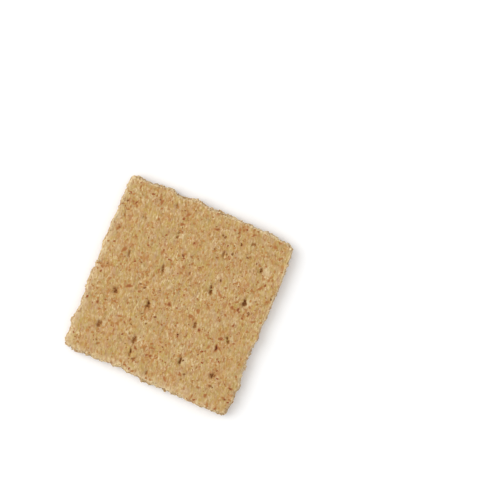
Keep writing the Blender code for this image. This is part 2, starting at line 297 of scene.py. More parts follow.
def dock_holes():
    """Centre, openness, lean and tears of every docking hole."""
    holes = []
    for row, v in enumerate(DOCK_ROW_SHARES):
        for column, u in enumerate(DOCK_COLUMN_SHARES):
            place = place_at(u, v) + Vector(DOCK_STRAYS.get((row, column), (0.0, 0.0))) * MM
            row_step, column_step = HOLE_LEAN_STEPS
            spread = noise.noise(Vector((row * row_step, column * column_step, HOLE_LEAN_SLICE)))
            lean = HOLE_LEAN + HOLE_LEAN_SPREAD * spread
            holes.append((place, DOCK_OPENNESS[row][column], lean, HOLE_TEARS[row][column]))
    return holes


def pinched(grid, places, reach):
    """Draws a grid's points in towards some places."""
    for place in places:
        away = grid[:, :, :2] - np.array(place)
        nearness = np.exp(-(away**2).sum(axis=2, keepdims=True) / reach**2)
        grid[:, :, :2] -= away * PINCH * nearness
    return grid


def turned(x, y, place, turn):
    """How far points are from a place, across and along a way that is turned."""
    dx = x - place.x
    dy = y - place.y
    across = dx * math.cos(turn) + dy * math.sin(turn)
    along = dy * math.cos(turn) - dx * math.sin(turn)
    return across, along


def hole_share(x, y, place, lean, half_width, half_length):
    """How deep in a ragged oval hole each point is: 0 outside and 1 on its floor."""
    across, along = turned(x, y, place, lean)
    across, along = across / half_width, along / half_length
    bearing = np.arctan2(along, across)
    turning = HOLE_VARIETY * (place.x + place.y) / DEPTH
    ragged = np.zeros_like(bearing)
    for lobes, height, share_of_turning in HOLE_LOBES:
        ragged += height * np.sin(lobes * bearing + share_of_turning * turning)
    reach = np.hypot(across, along) / (1.0 + HOLE_RAGGEDNESS * ragged)
    return smooth_step((1.0 - reach) / HOLE_WALL + 0.5)


# Marks that stand out. Each is given by its shares of the width and depth, its half width and
# half length in mm, how far it leans over to the right in the photograph, and its strength
CRACKS = (  # the strength is the depth in mm
    (0.37, 0.11, 0.34, 0.62, 0.10, 1.20), (0.37, 0.09, 0.30, 0.60, -0.20, 0.65),
    (0.40, 0.08, 0.26, 0.62, 1.35, 0.75), (0.58, 0.30, 0.20, 0.30, 0.00, 1.10),
    (0.72, 0.89, 0.30, 0.45, 0.00, 0.85), (0.79, 0.92, 0.25, 0.50, 0.15, 0.80),
    (0.62, 0.89, 0.25, 0.50, 0.50, 0.80), (0.50, 0.04, 0.30, 0.75, 0.10, 0.75),
    (0.81, 0.32, 0.40, 0.80, 0.20, 0.70), (0.51, 0.63, 0.30, 0.35, 0.00, 0.70),
)
HUSKS = (  # large pieces of bran just under the surface, at most 1
    (0.81, 0.32, 0.55, 1.05, 0.20, 1.00), (0.68, 0.37, 0.40, 0.60, 0.00, 1.00),
    (0.84, 0.56, 0.40, 0.80, 0.85, 0.95), (0.08, 0.86, 0.30, 0.65, 0.80, 0.95),
    (0.97, 0.15, 0.40, 0.65, -0.90, 0.95), (0.93, 0.74, 0.35, 0.50, 0.00, 0.95),
    (0.85, 0.47, 0.35, 0.55, 0.40, 0.90), (0.47, 0.43, 0.60, 0.80, 0.35, 0.85),
    (0.09, 0.28, 0.40, 0.65, -0.20, 0.85), (0.22, 0.43, 0.60, 1.00, 1.35, 0.80),
)
PALE_AND_LIT_PATCHES = (  # dough that the pins tore up, painted pale and partly as a highlight, at most 1.2
    (0.909, 0.817, 0.95, 1.30, 0.00, 1.20), (0.866, 0.612, 0.70, 1.10, 0.00, 0.80),
)
SMALL_MARK_LENGTHS = (1.1, 2.3)  # half length over half width of the marks that stand out less
SMALL_MARK_SHARES = (0.03, 0.97)  # of the width and depth, between which they lie
SMALL_MARK_LEANS = (-1.5, 1.5)


def small_marks(seed, count, half_widths, strengths):
    """Smaller marks of the same kind, which lie anywhere on the top."""
    chance = random.Random(seed)
    marks = []
    for _ in range(count):
        half_width = chance.uniform(*half_widths)
        half_length = half_width * chance.uniform(*SMALL_MARK_LENGTHS)
        u, v = chance.uniform(*SMALL_MARK_SHARES), chance.uniform(*SMALL_MARK_SHARES)
        lean, strength = chance.uniform(*SMALL_MARK_LEANS), chance.uniform(*strengths)
        marks.append((u, v, half_width, half_length, lean, strength))
    return tuple(marks)


PITS = CRACKS + small_marks(seed=5, count=22, half_widths=(0.20, 0.36), strengths=(0.40, 0.72))
STAINS = HUSKS + small_marks(seed=8, count=54, half_widths=(0.26, 0.54), strengths=(0.38, 0.82))


def marked(x, y, marks):
    """The strongest mark at each point."""
    strongest = np.zeros_like(x)
    for u, v, half_width, half_length, lean, strength in marks:
        turn = TEAR_TURN - lean
        share = hole_share(x, y, place_at(u, v), turn, half_width * MM, half_length * MM)
        strongest = np.maximum(strongest, strength * share)
    return strongest


# The score line, which the oven has almost closed
SCORE_DEPTH = 0.16 * MM
SCORE_HALF_WIDTH = 0.9 * MM
SCORE_WANDER = ((0.25 * MM, 31.0), (0.20 * MM, 97.0))  # how far the line strays, and how often
SCORE_SLITS = ((0.07, 0.075), (0.295, 0.035), (0.457, 0.028), (0.705, 0.016))  # middle, half length
SLIT_DEPTH = 0.20 * MM
SLIT_HALF_WIDTH = 0.30 * MM


def score_drop(x, y):
    """How far the score line lowers the top: a faint groove, and open slits in it."""
    along = y / DEPTH + 0.5
    wander = sum(stray * np.sin(along * often) for stray, often in SCORE_WANDER)
    drop = SCORE_DEPTH * np.exp(-(((x + wander) / SCORE_HALF_WIDTH) ** 2))
    for middle, half_length in SCORE_SLITS:
        openness = np.exp(-(((along - middle) / half_length) ** 4))
        drop = drop + SLIT_DEPTH * openness * np.exp(-(((x + wander) / SLIT_HALF_WIDTH) ** 2))
    return drop


def outline_distance(ring):
    """A function that gives how far points are from the nearest point of the outline."""
    tree = kdtree.KDTree(len(ring))
    for index, (place, _) in enumerate(ring):
        tree.insert(place.to_3d(), index)
    tree.balance()

    def distances(grid):
        found = [tree.find(Vector((x, y, 0.0)))[2] for x, y in grid[:, :, :2].reshape(-1, 2)]
        return np.array(found).reshape(grid.shape[:2])

    return distances


def torn_share(x, y, place, lean, tears):
    """How deep each point is in the tears that one pin left."""
    across_way = Vector((math.cos(TEAR_TURN), math.sin(TEAR_TURN)))
    along_way = Vector((-math.sin(TEAR_TURN), math.cos(TEAR_TURN)))
    deepest = np.zeros_like(x)
    for across, along, half_width, half_length, depth_share in tears:
        tear_place = place + (across_way * across + along_way * along) * MM
        turn = lean + TEAR_FAN * across
        share = hole_share(x, y, tear_place, turn, half_width * MM, half_length * MM)
        deepest = np.maximum(deepest, share * depth_share)
    return deepest


def faded(away):
    """How strong something is: 1 at its middle, next to nothing at one and a half radii."""
    return np.exp(-2.0 * away * away)


def raise_top(grid, inset, holes):
    """Sets the heights of the top's grid. Returns how deep in a hole, and how near the pale patch
    beside one, each point is: that patch is pale dough with a painted highlight on it."""
    x, y = grid[:, :, 0], grid[:, :, 1]
    swells = [layered_noise(px, py, 0.0, TOP_SWELLS) for px, py in zip(x.ravel(), y.ravel())]
    flat_share = smooth_step((inset - TOP_BORDER_INSET) / EDGE_ROUNDING)
    swell = np.array(swells).reshape(x.shape)
    height = edge_height(inset) + flat_share * (swell - score_drop(x, y))
    in_hole = np.zeros_like(x)
    halo = np.zeros_like(x)
    for place, openness, lean, tears in holes:
        middle = place + DIMPLE_DRAG
        away = np.hypot(x - middle.x, y - middle.y) / DIMPLE_RADIUS
        height -= DIMPLE_DEPTH * (1.0 - DIMPLE_BY_OPENNESS * (1.0 - openness)) * faded(away)
        across, along = turned(x, y, place + PALE_AND_LIT_HALO_DRAG, TEAR_TURN)
        away = np.hypot(across / PALE_AND_LIT_HALO_RADII[0], along / PALE_AND_LIT_HALO_RADII[1])
        halo = np.maximum(halo, faded(away) * openness)
        funnel = hole_share(x, y, place, lean, FUNNEL_HALF_WIDTH, FUNNEL_HALF_LENGTH)
        torn = torn_share(x, y, place, lean, tears)
        height -= FUNNEL_DEPTH * openness * funnel + TEAR_DEPTH * torn
        in_hole = np.maximum(in_hole, torn)
    pits = marked(x, y, PITS)
    grid[1:-1, 1:-1, 2] = (height - pits * MM)[1:-1, 1:-1]
    return np.maximum(in_hole, pits), np.maximum(halo, marked(x, y, PALE_AND_LIT_PATCHES))


def raise_underside(grid, inset, holes):
    """Sets the heights of the underside's grid, and returns how deep in a hole each point is."""
    x, y = grid[:, :, 0], grid[:, :, 1]
    places = [Vector((px, py, BLISTER_LEVEL)) for px, py in zip(x.ravel(), y.ravel())]
    swell = np.array([noise.noise(place / BLISTER_WAVELENGTH) for place in places])
    curl = FOOT_LIFT * (1.0 - smooth_step((inset - FOOT_INSET) / FOOT_LIFT_REACH))
    inner = smooth_step((inset - FOOT_LIFT_REACH) / FOOT_LIFT_REACH)
    blister = smooth_step((swell.reshape(x.shape) - BLISTER_THRESHOLD) * BLISTER_STEEPNESS)
    height = curl + inner * BLISTER_DEPTH * blister
    in_hole = np.zeros_like(x)
    for place, openness, lean, _ in holes:
        share = hole_share(x, y, place, lean, EXIT_HALF_WIDTH, EXIT_HALF_WIDTH)
        height += EXIT_DEPTH * openness * share
        in_hole = np.maximum(in_hole, share * openness)
    grid[1:-1, 1:-1, 2] = height[1:-1, 1:-1]
    return in_hole


def grid_indices(border, first_inner, cells):
    """Vertex numbers of a grid whose border has its own numbers and whose inner points follow."""
    numbers = np.zeros((cells + 1, cells + 1), dtype=int)
    numbers[0, :cells] = border[:cells]
    numbers[:cells, cells] = border[cells : 2 * cells]
    numbers[cells, cells:0:-1] = border[2 * cells : 3 * cells]
    numbers[cells:0:-1, 0] = border[3 * cells :]
    numbers[1:-1, 1:-1] = first_inner + np.arange((cells - 1) ** 2).reshape(cells - 1, cells - 1)
    return numbers


def grid_quads(numbers):
    """The four vertex numbers of each cell of a grid."""
    corners = (numbers[:-1, :-1], numbers[:-1, 1:], numbers[1:, 1:], numbers[1:, :-1])
    return np.stack(corners, axis=2).reshape(-1, 4)


def side_faces(ring_numbers, foot_numbers):
    """Faces from each ring of the side to the next, and down to the foot, which has half as
    many points."""
    faces = []
    for upper, lower in zip(ring_numbers, ring_numbers[1:]):
        around = (upper, lower, np.roll(lower, -1), np.roll(upper, -1))
        faces += np.stack(around, axis=1).tolist()
    last = ring_numbers[-1]
    for k, here in enumerate(foot_numbers):
        start, middle, end = last[2 * k], last[2 * k + 1], last[(2 * k + 2) % len(last)]
        there = foot_numbers[(k + 1) % len(foot_numbers)]
        faces += [[middle, start, here], [middle, here, there], [end, middle, there]]
    return faces


def build_dough_mesh():
    """The whole cracker as one closed mesh. Its attributes are how deep in a hole, how much in
    the pale patch beside one, which is pale dough with a painted highlight, how stained, how far
    from the side and how ragged each point is."""
    ring = outline(TOP_CELLS)
    holes = dock_holes()
    distances = outline_distance(ring)
    crag_shares = [BORDER_CRAG] + [1.0] * SIDE_RINGS + [FOOT_CRAG]
    rings = []
    for (inset, height), crag_share in zip(side_profile(), crag_shares):
        rings.append(side_ring(ring, inset, height, crag_share))
    foot = rings.pop()[::2]

    hole_places = [place for place, _, _, _ in holes]
    top = pinched(patch(rings[0], TOP_CELLS), hole_places, HOLE_PINCH_REACH)
    top = pinched(top, [place_at(*mark[:2]) for mark in PITS + STAINS], MARK_PINCH_REACH)
    top_inset = distances(top)
    top_in_hole, top_pale_and_lit_halo = raise_top(top, top_inset, holes)
    under = pinched(patch(foot, UNDERSIDE_CELLS), hole_places, HOLE_PINCH_REACH)
    under_inset = distances(under)
    under_in_hole = raise_underside(under, under_inset, holes)
    top_stain = marked(top[:, :, 0], top[:, :, 1], STAINS)

    sides = np.concatenate(rings)
    parts = (sides, foot, top[1:-1, 1:-1].reshape(-1, 3), under[1:-1, 1:-1].reshape(-1, 3))
    starts = np.cumsum([0] + [len(part) for part in parts])
    points = np.concatenate(parts)
    middle = (points.min(axis=0) + points.max(axis=0)) / 2
    low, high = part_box("cracker")
    points[:, :2] += (np.array(low)[:2] + np.array(high)[:2]) / 2 - middle[:2]

    ring_numbers = np.arange(len(sides)).reshape(-1, len(ring))
    foot_numbers = starts[1] + np.arange(len(foot))
    faces = side_faces(ring_numbers, foot_numbers)
    top_numbers = grid_indices(ring_numbers[0], starts[2], TOP_CELLS)
    under_numbers = grid_indices(foot_numbers, starts[3], UNDERSIDE_CELLS)
    faces += grid_quads(top_numbers).tolist()
    faces += grid_quads(under_numbers)[:, ::-1].tolist()

    mesh = bpy.data.meshes.new("cracker_crumb")
    mesh.from_pydata(points.tolist(), [], faces)
    beside = np.zeros(len(sides) + len(foot))
    none_below = np.zeros_like(under_in_hole)
    attributes = {"ragged": raggedness(points[:, 0], points[:, 1])}
    for name, above, below in (
        ("in_hole", top_in_hole, under_in_hole),
        ("halo", top_pale_and_lit_halo, none_below),
        ("stain", top_stain, none_below),
        ("inset", top_inset, under_inset),
    ):
        inner = (above[1:-1, 1:-1].ravel(), below[1:-1, 1:-1].ravel())
        attributes[name] = np.concatenate((beside, *inner))
    for name, values in attributes.items():
        attribute = mesh.attributes.new(name, "FLOAT", "POINT")
        attribute.data.foreach_set("value", values.astype(np.float32))
    mesh.shade_smooth()
    return mesh


class Wire:
    """A socket of a node tree. Plain arithmetic on it adds the tree's Math nodes."""

    def __init__(self, tree, socket=None):
        self.tree = tree
        self.socket = socket

    def node(self, kind, settings=None, sockets=None, output=0):
        """Adds a node, sets it up, fills or links its sockets, and wraps one of its outputs."""
        added = self.tree.nodes.new(kind)
        for name, value in (settings or {}).items():
            if name == "stops":
                ramp = added.color_ramp.elements
                while len(ramp) < len(value):
                    ramp.new(1.0)
                for element, (place, colour) in zip(ramp, value):
                    element.position = place
                    element.color = (*colour, 1.0)
            else:
                setattr(added, name, value)
        for key, value in (sockets or {}).items():
            if isinstance(value, Wire):
                self.tree.links.new(value.socket, added.inputs[key])
            else:
                added.inputs[key].default_value = value
        return Wire(self.tree, added.outputs[output])

    def beside(self, output):
        """Another output of the same node."""
        return Wire(self.tree, self.socket.node.outputs[output])

    def stored(self, name):
        """A mesh's attribute, as Geometry Nodes read it."""
        return self.node("GeometryNodeInputNamedAttribute", None, {"Name": name})

    def attribute(self, name):
        """A mesh's attribute, as a material reads it."""
        return self.node("ShaderNodeAttribute", {"attribute_name": name}, None, "Fac")

    def maths(self, operation, first, second):
        return self.node("ShaderNodeMath", {"operation": operation}, {0: first, 1: second})

    def __add__(self, other):
        return self.maths("ADD", self, other)

    def __radd__(self, other):
        return self.maths("ADD", other, self)

    def __sub__(self, other):
        return self.maths("SUBTRACT", self, other)

    def __rsub__(self, other):
        return self.maths("SUBTRACT", other, self)

    def __mul__(self, other):
        return self.maths("MULTIPLY", self, other)

    def __rmul__(self, other):
        return self.maths("MULTIPLY", other, self)

    def __truediv__(self, other):
        return self.maths("DIVIDE", self, other)

    def __rtruediv__(self, other):
        return self.maths("DIVIDE", other, self)

    def step(self, low, high):
        """0 up to low and 1 from high, or the other way round where low is the larger."""
        sockets = {"Value": self, "From Min": low, "From Max": high}
        return self.node("ShaderNodeMapRange", {"interpolation_type": "SMOOTHSTEP"}, sockets)

    def part(self, axis):
        """One of the three numbers that a vector or a colour is made of."""
        return self.node("ShaderNodeSeparateXYZ", None, {0: self}, axis)

    def scaled(self, factor):
        return self.node("ShaderNodeVectorMath", {"operation": "SCALE"}, {0: self, 3: factor})

    def plus(self, vector):
        return self.node("ShaderNodeVectorMath", {"operation": "ADD"}, {0: self, 1: vector})

    def noise(self, size, detail=2.0, roughness=0.5, output="Fac"):
        """Smooth noise with lumps of about that size, read at this vector."""
        sockets = {"Vector": self, "Scale": 1.0 / size, "Detail": detail, "Roughness": roughness}
        return self.node("ShaderNodeTexNoise", None, sockets, output)

    def shaking(self, size, detail, roughness):
        """A vector of smooth noise, half as likely one way as the other."""
        return self.noise(size, detail, roughness, "Color").plus((-0.5, -0.5, -0.5))

    def cells(self, size, output="Distance"):
        """Random cells of that size: how far off a cell's point is, or the cell's own colour."""
        sockets = {"Vector": self, "Scale": 1.0 / size}
        return self.node("ShaderNodeTexVoronoi", None, sockets, output)


def new_tree(name, inputs):
    """A Geometry Nodes tree with a mesh in and out and the named inputs. Returns its wires."""
    tree = bpy.data.node_groups.new(name, "GeometryNodeTree")
    tree.interface.new_socket("Geometry", in_out="INPUT", socket_type="NodeSocketGeometry")
    for label, kind in inputs:
        tree.interface.new_socket(label, in_out="INPUT", socket_type="NodeSocket" + kind)
    tree.interface.new_socket("Geometry", in_out="OUTPUT", socket_type="NodeSocketGeometry")
    group = tree.nodes.new("NodeGroupInput")
    return tree, {socket.name: Wire(tree, socket) for socket in group.outputs if socket.name}


def close_tree(geometry, material):
    """Ends a tree: its instances are made real and its faces get their material."""
    real = geometry.node("GeometryNodeRealizeInstances", None, {"Geometry": geometry})
    done = real.node("GeometryNodeSetMaterial", None, {"Geometry": real, "Material": material})
    out = done.tree.nodes.new("NodeGroupOutput")
    done.tree.links.new(done.socket, out.inputs[0])


def grown(name, mesh, tree, values):
    """A plain mesh object: what a tree makes of a mesh with those values for its inputs."""
    piece = bpy.data.objects.new(name, mesh)
    bpy.context.scene.collection.objects.link(piece)
    modifier = piece.modifiers.new(name, "NODES")
    modifier.node_group = tree
    for item in tree.interface.items_tree:
        if item.in_out == "INPUT" and item.name in values:
            modifier[item.identifier] = values[item.name]
    depsgraph = bpy.context.evaluated_depsgraph_get()
    made = bpy.data.meshes.new_from_object(piece.evaluated_get(depsgraph), depsgraph=depsgraph)
    made.name = name
    piece.modifiers.clear()
    piece.data = made
    return piece


def kept_on_floor(geometry):
    """Lifts what would lie under the floor up to it, as the oven's band flattens the dough."""
    place = geometry.node("GeometryNodeInputPosition")
    height = place.maths("MAXIMUM", place.part("Z"), 0.0)
    flat = place.node("ShaderNodeCombineXYZ", None, {
        0: place.part("X"), 1: place.part("Y"), 2: height})
    return geometry.node("GeometryNodeSetPosition", None, {"Geometry": geometry, "Position": flat})


HOLE_GRAIN = 2.5  # how much rougher the grain is inside a hole
CRUMB_LAYERING = 1.8  # how many times as wide as they are high the crumbs are
CRUMB_HEIGHTS = 1.2  # how much the crumbs differ in how far they stand out
CRUMB_BORDER = 0.45  # how far off a crumb's middle, in crumbs, its top falls below the rest
CRUMB_WANDER = 0.6  # how far its outline wanders, in crumbs
CRUMB_ON_TOP = 0.18  # share of the crags that the top and the underside have
BUBBLE_WANDER = 0.5  # how far a bubble's outline wanders, in spacings
BUBBLE_CHANCES = (0.35, 0.90)  # between which a bubble goes from closed to wide open
BUBBLE_RADII = (0.10, 0.24)  # the smallest and the largest, in spacings
BUBBLE_FLOOR = 0.35  # share of its radius that the floor of a burst bubble takes
BUBBLE_LESS_AT_SIDE = 0.3  # how much shallower bubbles are there


def crumb_relief_tree():
    """Roughens the baked dough: grain all over, small burst bubbles, and crags at the side."""
    tree, given = new_tree("crumb_relief", (
        ("Grain height", "Float"),
        ("Grain size", "Float"),
        ("Bubble depth", "Float"),
        ("Bubble spacing", "Float"),
        ("Crag height", "Float"),
        ("Crag size", "Float"),
        ("Crag reach", "Float"),
        ("Material", "Material"),
    ))
    start = Wire(tree)
    place = start.node("GeometryNodeInputPosition")
    normal = start.node("GeometryNodeInputNormal")
    inset = start.stored("inset")
    in_hole = start.stored("in_hole")
    ragged = start.stored("ragged")

    near_side = inset.step(given["Crag reach"], 0.0)
    grain = (place.noise(given["Grain size"], 3.0, 0.6) - 0.5) * 2.0 * given["Grain height"]
    grain = grain * (1.0 + HOLE_GRAIN * in_hole)

    # Crumbs: cells that each stand out by their own amount, broken off along their borders
    shake = place.shaking(given["Crag size"] * 0.5, 1.0, 0.6)
    layered = place.node("ShaderNodeVectorMath", {"operation": "MULTIPLY"}, {
        0: place, 1: (1.0, 1.0, CRUMB_LAYERING)})
    shaken = layered.plus(shake.scaled(given["Crag size"] * CRUMB_WANDER))
    crumb = shaken.cells(given["Crag size"])
    stand = (crumb.beside("Color").part("X") - 0.5) * CRUMB_HEIGHTS + (CRUMB_BORDER - crumb)
    crag = stand * given["Crag height"] * ragged * (near_side + CRUMB_ON_TOP)

    # Bubbles that burst: round hollows here and there, bent out of round by noise
    shake = place.shaking(given["Bubble spacing"] * 0.35, 1.0, 0.6)
    shaken = place.plus(shake.scaled(given["Bubble spacing"] * BUBBLE_WANDER))
    cell = shaken.cells(given["Bubble spacing"])
    chance = cell.beside("Color")
    burst = chance.part("X").step(*BUBBLE_CHANCES)
    smallest, largest = BUBBLE_RADII
    reach = smallest + (largest - smallest) * chance.part("Y")
    bubble = (cell / reach).step(1.0, BUBBLE_FLOOR) * burst * (1.0 - in_hole)
    bubble = bubble * (1.0 - BUBBLE_LESS_AT_SIDE * near_side)

    lift = grain + crag - bubble * given["Bubble depth"]
    moved = start.node("GeometryNodeSetPosition", None, {
        "Geometry": given["Geometry"], "Offset": normal.scaled(lift)})
    kept = moved.node("GeometryNodeStoreNamedAttribute", None, {
        "Geometry": moved, "Name": "bubble", "Value": bubble})
    close_tree(kept_on_floor(kept), given["Material"])
    return tree


ROLLING_TURN = 0.22  # of the dough's grain, from the cracker's own depth, in radians
ROLLING_STRETCH = 0.46  # width of the grain's lumps over their length
BEND_SIZE = 0.6 * MM  # the grain isn't straight, but bends this often and this far
BEND_REACH = 0.8 * MM
PATCH_SIZE = 5.0 * MM
MOTTLE_SIZE = 2.0 * MM
FLECK_SIZE = 1.0 * MM
FLOUR_SIZE = 0.62 * MM
SPECKLE_SIZE = 0.40 * MM
LAYER_SIZE = 0.55 * MM
LAYER_STRETCH = 0.30  # height of the baked layers over their length
BUMP_SIZE = 0.35 * MM
BUMP_HEIGHT = 0.13 * MM

# Where the dough turns paler or browner, and where a painted highlight lightens its rim and sides
FRONT_LEFT = (10.0 * MM, -20.0 * MM)  # the two places across and deep, added up
RIM_REACH = 1.0 * MM  # how far in from the side the rim is pale
RIM_REACH_FRONT_LEFT = 1.9 * MM  # and how much further at the front and left
RIM_WANDER = 2.4 * MM
# heights between which the side turns paler, partly torn crumb and partly painted highlight
PALE_AND_LIT_HEIGHTS = (3.0 * MM, 4.2 * MM)
FRESH_HEIGHTS = (2.6 * MM, 4.2 * MM)
FRESH_INSETS = (0.9 * MM, 0.2 * MM)
# how far back the painted highlight on the upper rim grows stronger, where the back side lies in
# shade
BACK_RIM_HIGHLIGHT = (24.0 * MM, 29.0 * MM)
BAKED_INSETS = (0.5 * MM, 0.1 * MM)
BROWN_HEIGHTS = (0.9 * MM, 0.2 * MM)

# Colours of the dough, linear
OLIVE = (0.418, 0.293, 0.105)
ORANGE = (0.475, 0.248, 0.072)
GOLDEN = (0.448, 0.293, 0.068)
PINKISH = (0.464, 0.286, 0.156)
RUDDY = (0.490, 0.240, 0.090)
CREAM = (0.640, 0.495, 0.272)
# pale torn crumb, and a painted highlight on the shaded side and shoulder
TORN_CRUMB_AND_HIGHLIGHT = (0.700, 0.565, 0.350)
# pale drawn dough beside the holes, and a painted highlight there
FLOURY_AND_HIGHLIGHT = (0.590, 0.465, 0.262)
# fresh pale crumb, and a painted highlight on the upper rim
FRESH_CRUMB_AND_HIGHLIGHT = (0.790, 0.645, 0.395)
BRAN = (0.355, 0.130, 0.030)
BRAN_HEART = (0.190, 0.045, 0.011)
# darker crumb in the grain, and painted shade in the burst bubbles' hollows
CRUMB_SHADE = (0.240, 0.120, 0.034)
# painted shade in the docking holes and pits
HOLE_PAINTED_SHADE = (0.420, 0.175, 0.040)
CRUST = (0.400, 0.225, 0.080)
UNDER_BROWN = (0.360, 0.190, 0.062)


def mixed(factor, first, second):
    """A colour between two colours, or wires that carry colours."""
    colours = [c if isinstance(c, Wire) else (*c, 1.0) for c in (first, second)]
    sockets = {0: factor, 6: colours[0], 7: colours[1]}
    return factor.node("ShaderNodeMix", {"data_type": "RGBA"}, sockets, 2)


def new_material(name):
    """A material, its shader and a first wire of its tree."""
    material = bpy.data.materials.new(name)
    material.use_nodes = True
    shader = material.node_tree.nodes["Principled BSDF"]
    return material, shader, Wire(material.node_tree)


def dough_material():
    """Dry whole wheat crumb: mottled tan with cream grains and sunken bran, painted shade in its
    hollows, holes and pits, and a painted highlight on its rim and beside its holes.
    """
    material, shader, start = new_material("baked_dough")
    place = start.node("ShaderNodeTexCoord", None, None, "Object")
    in_hole = start.attribute("in_hole")
    halo = start.attribute("halo")
    bubble = start.attribute("bubble")
    stain = start.attribute("stain")
    inset = start.attribute("inset")

    # The rollers drew the grain out one way
    along_grain = start.node("ShaderNodeVectorRotate", {"rotation_type": "Z_AXIS"}, {
        "Vector": place, "Angle": -ROLLING_TURN})
    rolled = start.node("ShaderNodeMapping", None, {
        "Vector": along_grain, "Scale": (1.0, ROLLING_STRETCH, 1.0)})
    bent = rolled.plus(rolled.shaking(BEND_SIZE, 2.0, 0.5).scaled(BEND_REACH))

    # Mottled tan, in redder and greener patches
    mottle = rolled.noise(MOTTLE_SIZE, 5.0, 0.75, "Color")
    tan = mixed(mottle.part("X").step(0.40, 0.60), OLIVE, ORANGE)
    second = mixed(mottle.part("Y").step(0.40, 0.60), GOLDEN, PINKISH)
    tan = mixed(mottle.part("Z").step(0.40, 0.60), tan, second)
    patches = place.noise(PATCH_SIZE, 2.0, 0.5, "Color")
    tan = mixed(patches.part("X").step(0.46, 0.66) * 0.35, tan, RUDDY)
    tan = mixed(patches.part("X").step(0.50, 0.34) * 0.25, tan, OLIVE)

    # The sides are paler, most of all near the top, and the front and left ones further in: partly
    # the torn crumb's own colour, partly a painted highlight on the shaded side and rounded shoulder
    front_left = (place.part("X") + place.part("Y")).step(*FRONT_LEFT)
    wander = (mottle.part("Z") - 0.5) * RIM_WANDER
    rim = (inset + wander) / (RIM_REACH + front_left * RIM_REACH_FRONT_LEFT)
    pale_and_lit_share = 0.30 + 0.35 * place.part("Z").step(*PALE_AND_LIT_HEIGHTS)
    tan = mixed(rim.step(1.0, 0.0) * pale_and_lit_share, tan, TORN_CRUMB_AND_HIGHLIGHT)
    # A painted highlight on the upper rim, as fresh crumb, strongest at the back, which faces away
    # from the lamp
    fresh_and_lit_share = 0.60 + 0.25 * place.part("Y").step(*BACK_RIM_HIGHLIGHT)
    upper_rim = inset.step(*FRESH_INSETS) * place.part("Z").step(*FRESH_HEIGHTS)
    tan = mixed(upper_rim * fresh_and_lit_share, tan, FRESH_CRUMB_AND_HIGHLIGHT)

    # Darker layers in the sides, and the pale dough that the pins drew out beside the holes, with a
    # painted highlight on the holes' lit side
    layers = place.node("ShaderNodeMapping", None, {
        "Vector": place, "Scale": (LAYER_STRETCH, LAYER_STRETCH, 1.0)})
    baked_layer = layers.noise(LAYER_SIZE, 2.0, 0.6).step(0.46, 0.66)
    tan = mixed(baked_layer * inset.step(*BAKED_INSETS) * 0.55, tan, CRUST)
    # pale patch beside each hole: drawn dough and a painted highlight
    drawn_and_lit = halo - 0.5 * mottle.part("X").step(0.35, 0.65)
    tan = mixed(drawn_and_lit.step(0.0, 0.6) * 0.75, tan, FLOURY_AND_HIGHLIGHT)

    # Cream grains of flour and the shade between them, finer and fainter in some patches
    grain = bent.noise(FLOUR_SIZE, 2.0, 0.6)
    coarse = 1.10 - 0.45 * patches.part("Y").step(0.58, 0.42)
    paler_grain = grain + 0.06 * (patches.part("Z").step(0.35, 0.65) - 0.5)
    tan = mixed(paler_grain.step(0.51, 0.69) * 0.95 * coarse, tan, CREAM)
    tan = mixed(paler_grain.step(0.48, 0.30) * 0.65 * coarse, tan, CRUMB_SHADE)
    speckle = bent.cells(SPECKLE_SIZE, "Color")
    tan = mixed(speckle.part("X").step(0.70, 1.00) * 0.53 * coarse, tan, CREAM)
    tan = mixed(speckle.part("Y").step(0.74, 1.00) * 0.54 * coarse, tan, BRAN)
    tan = mixed(speckle.part("Z").step(0.55, 1.00) * 0.45, tan, PINKISH)
    tan = mixed(speckle.part("Z").step(0.45, 0.00) * 0.45, tan, GOLDEN)

    # Bran in the dough, the browner underside, painted shade in the bubbles' hollows and in the
    # holes and pits, and the bran of the marks
    flecks = bent.noise(FLECK_SIZE, 2.0, 0.5) + 0.30 * (patches.part("X") - 0.5)
    colour = mixed(flecks.step(0.58, 0.67) * 0.50, tan, BRAN)
    colour = mixed(place.part("Z").step(*BROWN_HEIGHTS) * 0.6, colour, UNDER_BROWN)
    # painted shade in the burst bubbles' hollows
    colour = mixed(bubble * 0.7, colour, CRUMB_SHADE)
    # painted shade in the holes and pits, deepest where they are deepest
    colour = mixed(in_hole.step(0.0, 0.5) * 0.80, colour, HOLE_PAINTED_SHADE)
    colour = mixed(stain.step(0.0, 0.55) * 0.95, colour, BRAN)
    colour = mixed(stain.step(0.55, 1.0), colour, BRAN_HEART)

    bump = start.node("ShaderNodeBump", None, {
        "Strength": 0.9, "Distance": BUMP_HEIGHT, "Height": place.noise(BUMP_SIZE, 2.0, 0.6)})
    shader.inputs["Metallic"].default_value = 0.0
    for name, wire in (("Base Color", colour), ("Roughness", 0.84 + 0.12 * grain), ("Normal", bump)):
        start.tree.links.new(wire.socket, shader.inputs[name])
    return material


dough = dough_material()
cracker = grown("cracker_crumb", build_dough_mesh(), crumb_relief_tree(), {
    "Grain height": 0.06 * MM,
    "Grain size": 1.3 * MM,
    "Bubble depth": 0.30 * MM,
    "Bubble spacing": 1.7 * MM,
    "Crag height": 0.50 * MM,
    "Crag size": 1.40 * MM,
    "Crag reach": 1.2 * MM,
    "Material": dough,
})
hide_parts("cracker")
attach(cracker, "root")

